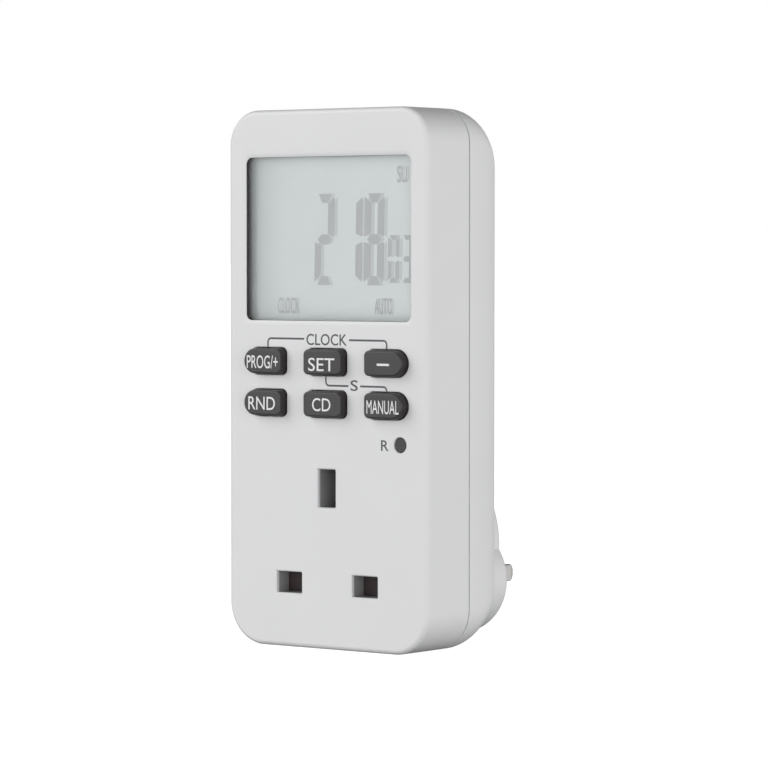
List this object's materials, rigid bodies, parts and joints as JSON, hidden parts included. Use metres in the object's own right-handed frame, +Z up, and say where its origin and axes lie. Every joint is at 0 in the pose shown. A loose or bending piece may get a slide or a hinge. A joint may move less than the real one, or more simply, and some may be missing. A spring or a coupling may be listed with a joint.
{
  "type": "plug-through programmable timer",
  "caption": "Plug-through digital programmable timer: flat box with a display, keys, a shuttered outlet in front and a pin plug boss behind.",
  "frame": {"origin": "on the plug boss's face, midway between the live and neutral pins", "axes": "+X to the right of a person facing the front, the front faces -Y and the pins point along +Y, +Z up towards the display"},
  "size_m": [0.0584, 0.0619, 0.125],
  "materials": {
    "case_white": "fine satin moulded ABS, off-white",
    "window_clear": "clear glossy moulded window",
    "black_plastic": "matt black plastic and foam",
    "lcd_glass": "silvery grey reflective liquid crystal panel",
    "connector_rubber": "layered conductive rubber",
    "key_grey": "satin charcoal plastic",
    "plunger_black": "smooth black plastic",
    "control_laminate": "green solder mask on glass laminate",
    "power_laminate": "brown paper laminate",
    "component_black": "moulded epoxy",
    "component_tan": "ceramic and lacquer",
    "component_blue": "blue lacquer",
    "natural_nylon": "natural nylon",
    "carrier_grey": "mid-grey moulded nylon",
    "copper_wire": "enamelled copper",
    "steel": "zinc plated steel",
    "contact_brass": "stamped brass strip",
    "pin_nickel": "nickel plated brass",
    "sleeve_black": "moulded pin sleeve",
    "wire_brown": "extruded PVC insulation"
  },
  "bodies": {
    "case": {"front_case": "case_white", "rear_case": "case_white", "display_lens": "window_clear", "lens_gasket": "black_plastic", "lcd_panel": "lcd_glass", "lcd_reflector": "lcd_glass", "lcd_connectors": "connector_rubber", "lcd_holder": "black_plastic", "key_switches": "black_plastic", "reset_switch": "black_plastic", "control_board": "control_laminate", "controller_chip": "component_black", "clock_crystal": "steel", "backup_cell": "steel", "cell_tabs": "steel", "control_parts": "component_tan", "board_header": "component_black", "power_board": "power_laminate", "relay_base": "black_plastic", "relay_cover": "component_blue", "relay_bobbin": "natural_nylon", "relay_winding": "copper_wire", "relay_frame": "steel", "relay_contacts": "contact_brass", "dropper_capacitor": "component_tan", "smoothing_capacitor": "component_black", "surge_varistor": "component_blue", "board_fuse": "component_tan", "rectifier_diodes": "component_black", "board_resistors": "component_blue", "relay_transistor": "component_black", "socket_carrier": "carrier_grey", "contact_housing": "natural_nylon", "shutter_spring": "steel", "live_contact": "contact_brass", "neutral_contact": "contact_brass", "earth_contact": "contact_brass", "live_pin": "pin_nickel", "neutral_pin": "pin_nickel", "earth_pin": "pin_nickel", "pin_sleeves": "sleeve_black", "pin_retainer": "natural_nylon", "supply_wires": "wire_brown", "case_screws": "steel", "board_screws": "steel"},
    "program_key": {"program_key": "key_grey", "program_plunger": "plunger_black"},
    "set_key": {"set_key": "key_grey", "set_plunger": "plunger_black"},
    "minus_key": {"minus_key": "key_grey", "minus_plunger": "plunger_black"},
    "random_key": {"random_key": "key_grey", "random_plunger": "plunger_black"},
    "countdown_key": {"countdown_key": "key_grey", "countdown_plunger": "plunger_black"},
    "manual_key": {"manual_key": "key_grey", "manual_plunger": "plunger_black"},
    "reset_button": {"reset_button": "key_grey"},
    "shutter": {"shutter": "black_plastic"},
    "relay_armature": {"relay_armature": "steel"}
  },
  "joints": [
    {"name": "program_key_press", "type": "slide", "parent": "case", "child": "program_key", "axis": [0, 1, 0], "range_m": [0, 0.0008], "stiffness_N_per_m": 900},
    {"name": "set_key_press", "type": "slide", "parent": "case", "child": "set_key", "axis": [0, 1, 0], "range_m": [0, 0.0008], "stiffness_N_per_m": 900},
    {"name": "minus_key_press", "type": "slide", "parent": "case", "child": "minus_key", "axis": [0, 1, 0], "range_m": [0, 0.0008], "stiffness_N_per_m": 900},
    {"name": "random_key_press", "type": "slide", "parent": "case", "child": "random_key", "axis": [0, 1, 0], "range_m": [0, 0.0008], "stiffness_N_per_m": 900},
    {"name": "countdown_key_press", "type": "slide", "parent": "case", "child": "countdown_key", "axis": [0, 1, 0], "range_m": [0, 0.0008], "stiffness_N_per_m": 900},
    {"name": "manual_key_press", "type": "slide", "parent": "case", "child": "manual_key", "axis": [0, 1, 0], "range_m": [0, 0.0008], "stiffness_N_per_m": 900},
    {"name": "reset_press", "type": "slide", "parent": "case", "child": "reset_button", "axis": [0, 1, 0], "range_m": [0, 0.0005], "stiffness_N_per_m": 900},
    {"name": "shutter_slide", "type": "slide", "parent": "case", "child": "shutter", "axis": [0, 0, -1], "range_m": [0, 0.0056], "stiffness_N_per_m": 150, "deforming": ["shutter_spring"]},
    {"name": "relay_pull_in", "type": "hinge", "parent": "case", "child": "relay_armature", "pos_m": [0.0174, -0.0154, 0.05325], "axis": [-1, 0, 0], "range_deg": [0, 3.3], "stiffness_Nm_per_rad": 0.02}
  ]
}
